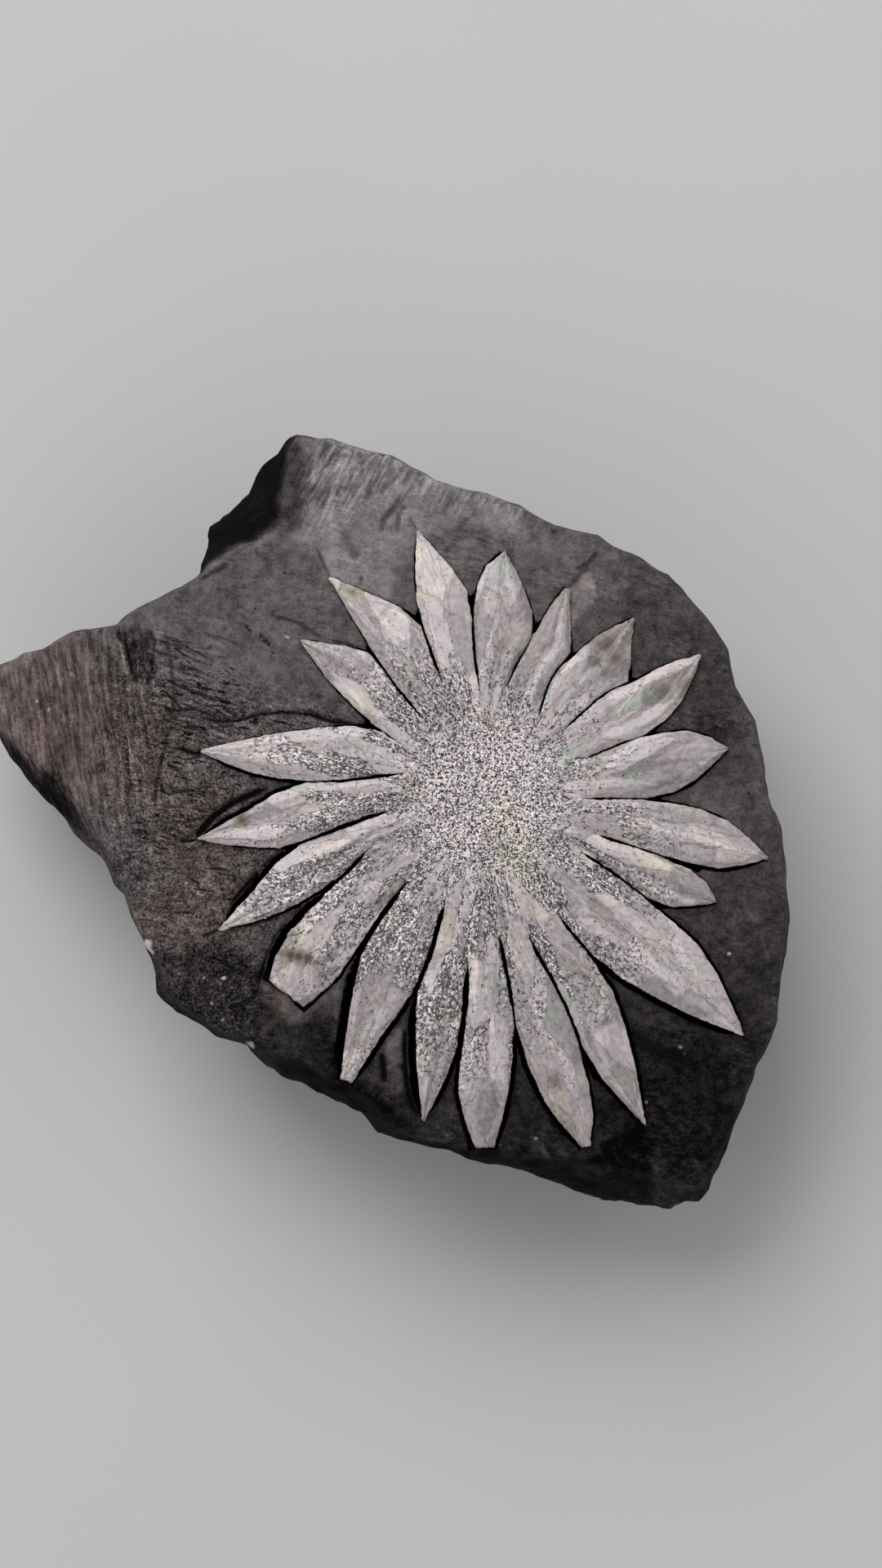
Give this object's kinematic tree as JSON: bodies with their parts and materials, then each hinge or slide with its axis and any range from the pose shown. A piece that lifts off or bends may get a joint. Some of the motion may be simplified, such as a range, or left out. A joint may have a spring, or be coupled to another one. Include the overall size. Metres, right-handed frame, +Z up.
{
  "type": "chrysanthemum stone",
  "caption": "Ornamental dark rock slab with a pale, radiating crystal flower standing in low relief in its upper face.",
  "frame": {"origin": "middle of the rock's plan, on the flat underside it rests on", "axes": "+X to the right of the face along its longest extent, +Y towards the peak in the face's plane, +Z up out of the face that carries the flower"},
  "size_m": [0.0664, 0.064, 0.0208],
  "materials": {
    "dark_limestone": "dark grey-black fine-grained limestone, rough where broken and tool-scratched round the flower",
    "pale_crystal": "white-grey opaque crystal blades with a fine silky streak, granular in the heart"
  },
  "bodies": {
    "root": {"matrix_rock": "dark_limestone", "crystal_flower": "pale_crystal"}
  },
  "joints": []
}
